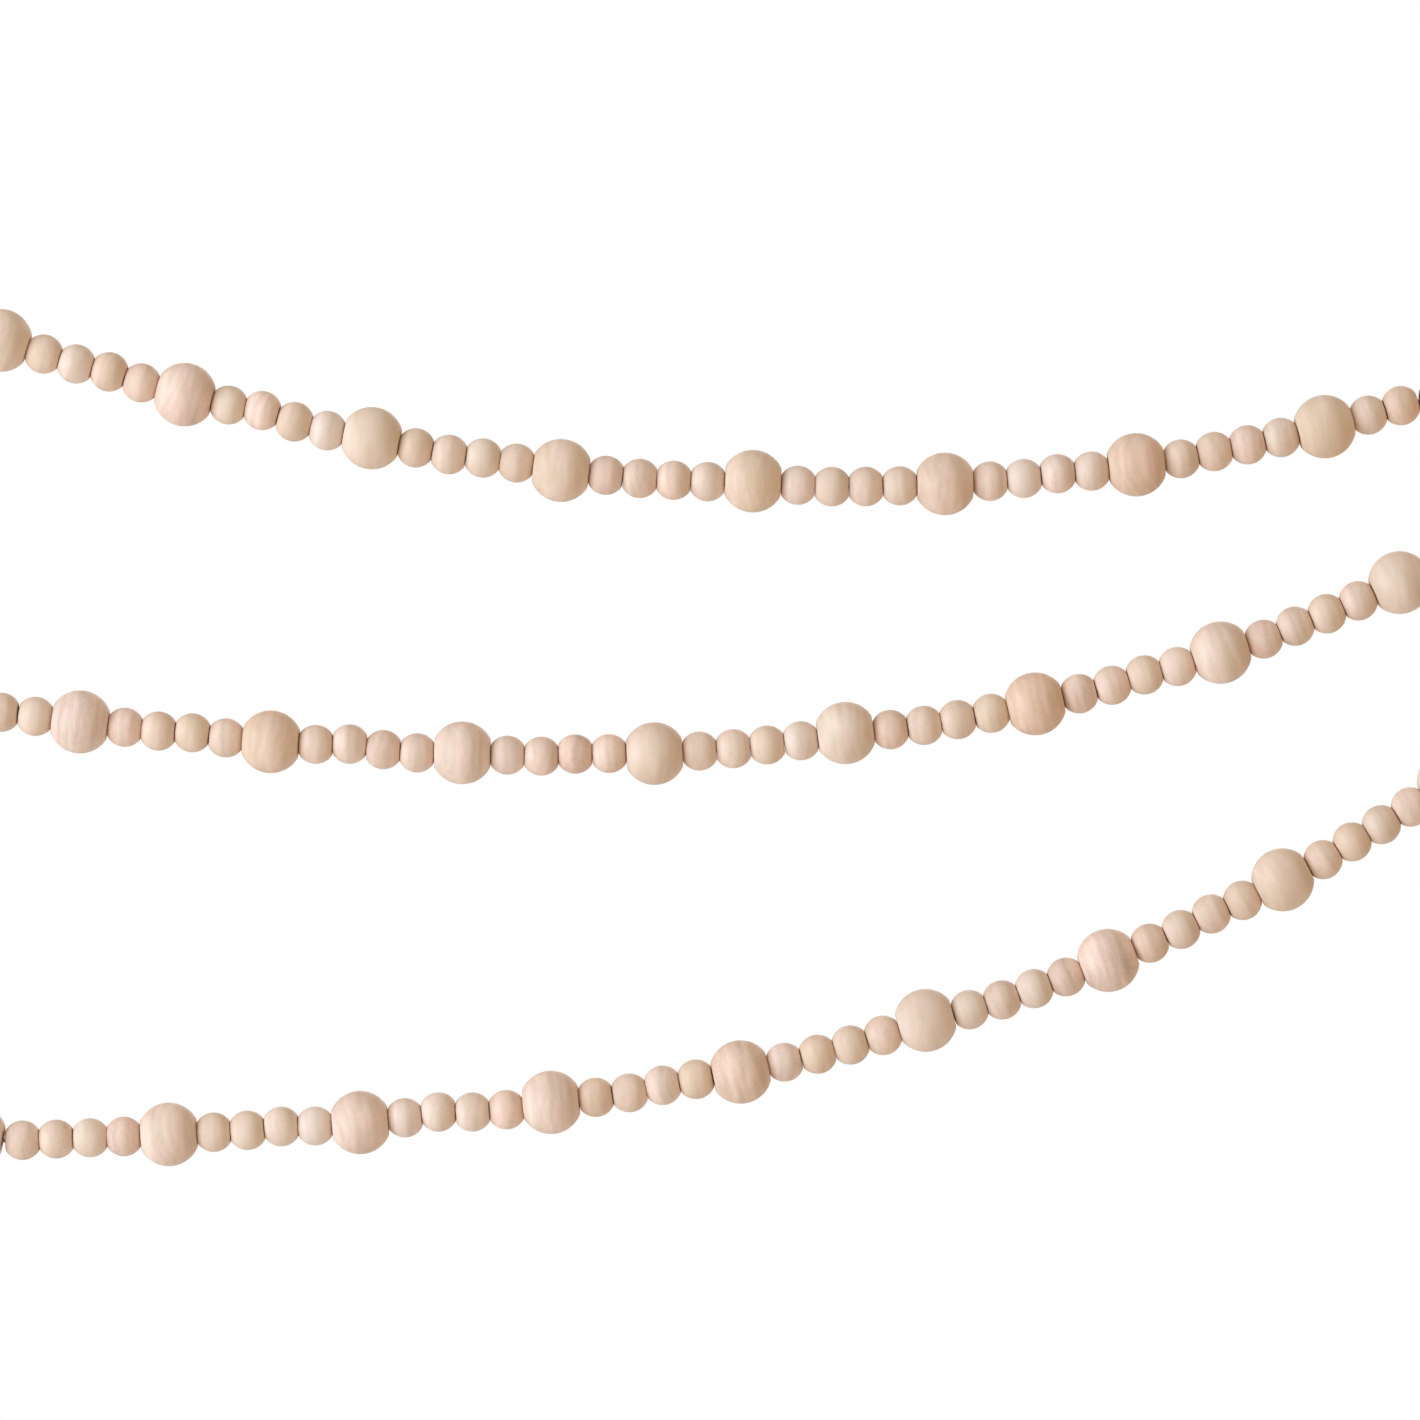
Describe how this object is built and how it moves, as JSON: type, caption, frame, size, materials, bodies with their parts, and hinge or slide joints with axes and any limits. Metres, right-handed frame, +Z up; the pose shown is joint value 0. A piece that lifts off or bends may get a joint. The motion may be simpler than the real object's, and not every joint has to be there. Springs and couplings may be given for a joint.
{
  "type": "wood bead garland",
  "caption": "Garland of big and small turned wood beads on one string, hung back and forth in swags, with a knotted hanging loop at each end.",
  "frame": {"origin": "far end of the left hanging loop, where a nail or hook holds it", "axes": "+X right along the swags, +Y to the wall behind, +Z up; the string runs in the XZ plane and is seen from -Y"},
  "size_m": [0.4243, 0.016, 0.2221],
  "materials": {
    "big_beads": "bare sanded pale wood, matt",
    "small_beads": "bare sanded pale wood, matt, tone differs from bead to bead",
    "string": "twisted natural cotton string, matt"
  },
  "bodies": {
    "root": {"big_bead_01": "big_beads", "big_bead_02": "big_beads", "big_bead_03": "big_beads", "big_bead_04": "big_beads", "big_bead_05": "big_beads", "big_bead_06": "big_beads", "big_bead_07": "big_beads", "big_bead_08": "big_beads", "big_bead_09": "big_beads", "big_bead_10": "big_beads", "big_bead_11": "big_beads", "big_bead_12": "big_beads", "big_bead_13": "big_beads", "big_bead_14": "big_beads", "big_bead_15": "big_beads", "big_bead_16": "big_beads", "big_bead_17": "big_beads", "big_bead_18": "big_beads", "big_bead_19": "big_beads", "big_bead_20": "big_beads", "big_bead_21": "big_beads", "big_bead_22": "big_beads", "big_bead_23": "big_beads", "big_bead_24": "big_beads", "big_bead_25": "big_beads", "big_bead_26": "big_beads", "big_bead_27": "big_beads", "big_bead_28": "big_beads", "small_beads_01": "small_beads", "small_beads_02": "small_beads", "small_beads_03": "small_beads", "small_beads_04": "small_beads", "small_beads_05": "small_beads", "small_beads_06": "small_beads", "small_beads_07": "small_beads", "small_beads_08": "small_beads", "small_beads_09": "small_beads", "small_beads_10": "small_beads", "small_beads_11": "small_beads", "small_beads_12": "small_beads", "small_beads_13": "small_beads", "small_beads_14": "small_beads", "small_beads_15": "small_beads", "small_beads_16": "small_beads", "small_beads_17": "small_beads", "small_beads_18": "small_beads", "small_beads_19": "small_beads", "small_beads_20": "small_beads", "small_beads_21": "small_beads", "small_beads_22": "small_beads", "small_beads_23": "small_beads", "small_beads_24": "small_beads", "small_beads_25": "small_beads", "small_beads_26": "small_beads", "small_beads_27": "small_beads", "string": "string"}
  },
  "joints": []
}
